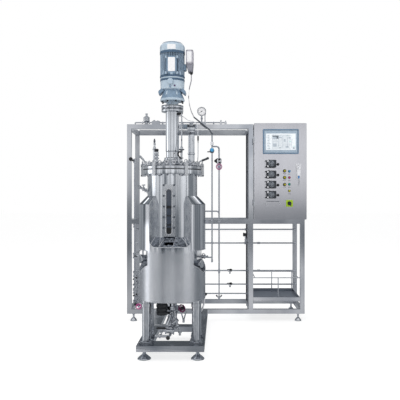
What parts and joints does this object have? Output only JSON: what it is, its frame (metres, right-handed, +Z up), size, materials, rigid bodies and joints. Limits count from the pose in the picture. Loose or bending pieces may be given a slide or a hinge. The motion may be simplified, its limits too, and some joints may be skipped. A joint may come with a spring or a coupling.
{
  "type": "pilot-scale stainless bioreactor on a skid with control cabinet",
  "caption": "Floor-standing stirred stainless bioreactor: clad vessel with top motor on a stand, joined to a tube skid with pipework and a control cabinet.",
  "frame": {"origin": "centre of the footprint's bounding box, on the floor under the feet", "axes": "+Z up, -Y towards the operator in front of the vessel, +X to the control cabinet's side"},
  "size_m": [1.6, 1.911, 2.195],
  "materials": {
    "frame_steel": "satin stainless tube",
    "polished_steel": "polished stainless steel",
    "mirror_steel": "mirror polished stainless sheet",
    "cabinet_steel": "brushed stainless sheet",
    "dark_glass": "dark sight glass",
    "black_rubber": "matt black",
    "drive_paint": "light blue-grey enamel",
    "motor_paint": "blue-grey enamel",
    "box_paint": "light grey enamel",
    "screen_panel": "blue-grey rim round a pale screen",
    "dark_plastic": "dark grey moulding",
    "yellow_plastic": "yellow moulding",
    "blue_plastic": "light blue moulding",
    "purple_plastic": "purple moulding",
    "navy_plastic": "near-black moulding",
    "white_plastic": "off-white moulding"
  },
  "bodies": {
    "skid": {"front_frame": "frame_steel", "rear_frame": "frame_steel", "cross_low_1": "frame_steel", "cross_low_2": "frame_steel", "cross_low_3": "frame_steel", "cross_mid_1": "frame_steel", "cross_mid_2": "frame_steel", "cross_mid_3": "frame_steel", "cross_top_1": "frame_steel", "cross_top_2": "frame_steel", "base_frame": "frame_steel", "base_foot_left": "polished_steel", "base_foot_right": "polished_steel", "frame_foot_1": "polished_steel", "frame_foot_2": "polished_steel", "frame_foot_3": "polished_steel", "frame_foot_4": "polished_steel", "vessel_leg_1": "polished_steel", "vessel_leg_2": "polished_steel", "vessel_leg_3": "polished_steel", "vessel_leg_4": "polished_steel", "vessel_shell": "polished_steel", "cladding": "mirror_steel", "sight_frame": "polished_steel", "sight_glass": "dark_glass", "lid_gasket": "black_rubber", "lid": "polished_steel", "lid_clamp_1": "frame_steel", "lid_clamp_2": "frame_steel", "lid_clamp_3": "frame_steel", "lid_clamp_4": "frame_steel", "lid_clamp_5": "frame_steel", "lid_clamp_6": "frame_steel", "lantern": "polished_steel", "gear_unit": "drive_paint", "motor": "motor_paint", "terminal_box": "box_paint", "motor_cable": "black_rubber", "condenser": "polished_steel", "air_line": "frame_steel", "bottom_valve": "polished_steel", "feed_pipe": "frame_steel", "pipe_manifold": "frame_steel", "shelf": "frame_steel", "cabinet_box": "cabinet_steel"},
    "agitator": {"agitator": "polished_steel"},
    "door": {"cabinet_door": "cabinet_steel", "hmi": "screen_panel", "pump_1": "dark_plastic", "pump_2": "dark_plastic", "pump_3": "dark_plastic", "pump_4": "dark_plastic"},
    "lock": {"lock_handle": "white_plastic"},
    "main_switch": {"main_switch_knob": "navy_plastic"},
    "selector_1": {"selector_1": "yellow_plastic"},
    "selector_2": {"selector_2": "yellow_plastic"},
    "selector_3": {"selector_3": "yellow_plastic"},
    "outlet_wheel": {"bottom_handwheel": "purple_plastic"},
    "feed_wheel": {"feed_handwheel": "purple_plastic"},
    "feed_cap": {"feed_knob": "blue_plastic"}
  },
  "joints": [
    {"name": "agitator_spin", "type": "hinge", "parent": "skid", "child": "agitator", "pos_m": [-0.302, -0.7225, 1], "axis": [0, 0, 1], "continuous": true},
    {"name": "door_hinge", "type": "hinge", "parent": "skid", "child": "door", "pos_m": [0.339, 0.3135, 1.345], "axis": [0, 0, -1], "range_deg": [0, 110]},
    {"name": "lock_turn", "type": "hinge", "parent": "door", "child": "lock", "pos_m": [0.732, 0.3165, 1.376], "axis": [0, -1, 0], "range_deg": [0, 90]},
    {"name": "main_switch_turn", "type": "hinge", "parent": "door", "child": "main_switch", "pos_m": [0.653, 0.3165, 1.06], "axis": [0, 1, 0], "range_deg": [0, 90]},
    {"name": "selector_1_turn", "type": "hinge", "parent": "door", "child": "selector_1", "pos_m": [0.61, 0.3165, 1.348], "axis": [0, 1, 0], "range_deg": [-45, 45]},
    {"name": "selector_2_turn", "type": "hinge", "parent": "door", "child": "selector_2", "pos_m": [0.61, 0.3165, 1.289], "axis": [0, 1, 0], "range_deg": [-45, 45]},
    {"name": "selector_3_turn", "type": "hinge", "parent": "door", "child": "selector_3", "pos_m": [0.61, 0.3165, 1.227], "axis": [0, 1, 0], "range_deg": [-45, 45]},
    {"name": "outlet_wheel_turn", "type": "hinge", "parent": "skid", "child": "outlet_wheel", "pos_m": [-0.2298, -0.813, 0.3399], "axis": [0.5765, -0.7223, 0.382], "range_deg": [0, 720]},
    {"name": "feed_wheel_turn", "type": "hinge", "parent": "skid", "child": "feed_wheel", "pos_m": [0.029, 0.3095, 1.385], "axis": [0, -1, 0], "range_deg": [0, 720]},
    {"name": "feed_cap_turn", "type": "hinge", "parent": "skid", "child": "feed_cap", "pos_m": [-0.034, 0.3275, 1.533], "axis": [0, -1, 0], "range_deg": [0, 720]}
  ]
}
